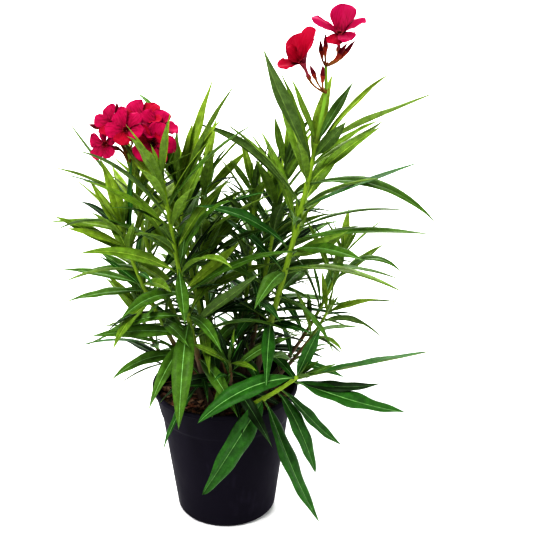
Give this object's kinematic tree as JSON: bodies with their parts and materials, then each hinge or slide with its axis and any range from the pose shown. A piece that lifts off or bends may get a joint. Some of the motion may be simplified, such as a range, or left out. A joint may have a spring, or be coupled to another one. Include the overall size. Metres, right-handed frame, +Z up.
{
  "type": "potted oleander",
  "caption": "Flowering oleander shrub with slim whorled leaves and two crimson flower heads, growing in a round black nursery pot.",
  "frame": {"origin": "middle of the pot's flat underside", "axes": "+Z up through the pot's axis, -Y towards the side with the low front shoot"},
  "size_m": [0.4345, 0.355, 0.615],
  "materials": {
    "pot": "satin black moulded plastic",
    "potting_mix": "coarse bark and peat",
    "stem": "smooth young bark, brown below and yellow-green above",
    "leaf": "leathery, half gloss, pale midrib",
    "blossom": "soft velvet petals"
  },
  "bodies": {
    "root": {"pot": "pot", "soil": "potting_mix", "stem_right": "stem", "stem_front": "stem", "stem_low_front": "stem", "stem_left": "stem", "stem_bloom_left": "stem", "stem_centre": "stem", "stem_side_right": "stem", "stem_side_low": "stem", "stem_side_left": "stem", "stem_sprig": "stem", "stem_inner_left": "stem", "stem_inner_middle": "stem", "stem_inner_right": "stem", "stem_rear_left": "stem", "stem_rear_right": "stem", "foliage_right": "leaf", "foliage_front": "leaf", "foliage_low_front": "leaf", "foliage_left": "leaf", "foliage_bloom_left": "leaf", "foliage_centre": "leaf", "foliage_side_right": "leaf", "foliage_side_low": "leaf", "foliage_side_left": "leaf", "foliage_sprig": "leaf", "foliage_inner_left": "leaf", "foliage_inner_middle": "leaf", "foliage_inner_right": "leaf", "foliage_rear_left": "leaf", "foliage_rear_right": "leaf", "flowers_right": "blossom", "flowers_left": "blossom"}
  },
  "joints": []
}
